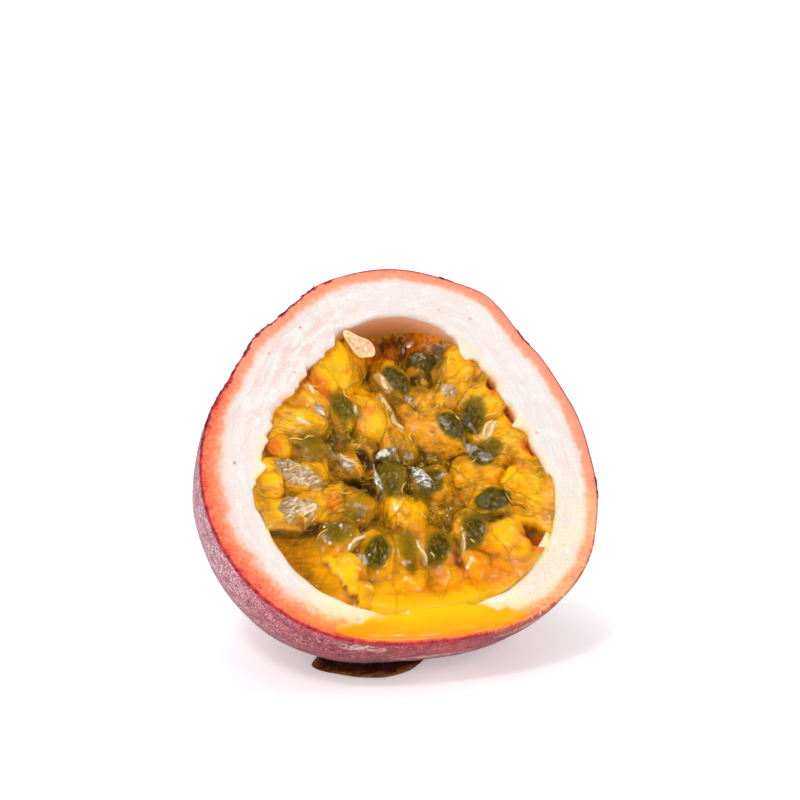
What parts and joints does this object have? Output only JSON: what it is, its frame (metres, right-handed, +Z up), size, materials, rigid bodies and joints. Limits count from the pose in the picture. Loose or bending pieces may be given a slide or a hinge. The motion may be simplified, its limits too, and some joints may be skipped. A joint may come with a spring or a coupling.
{
  "type": "passion fruit half",
  "caption": "Half of a purple passion fruit, cut across and resting on its round side, with pulp, dark seeds in juice sacs, and juice over its low lip.",
  "frame": {"origin": "centre of the bounding box's bottom, on the surface that the half rests on", "axes": "+Z up; the cut face looks towards -Y and up, 39 degrees above the horizontal; +X runs along the cut, to the right of someone facing it"},
  "size_m": [0.0602, 0.0528, 0.0544],
  "materials": {
    "rind": "plum skin with a fine pale speckle outside, coral to white pith at the cut",
    "pulp": "wet yellow-orange juice sacs with dark olive seeds showing through",
    "juice": "glossy orange-yellow juice",
    "dark_juice": "glossy dark amber juice"
  },
  "bodies": {
    "root": {"rind": "rind", "pulp": "pulp", "juice_lip": "juice", "juice_foot": "dark_juice"}
  },
  "joints": []
}
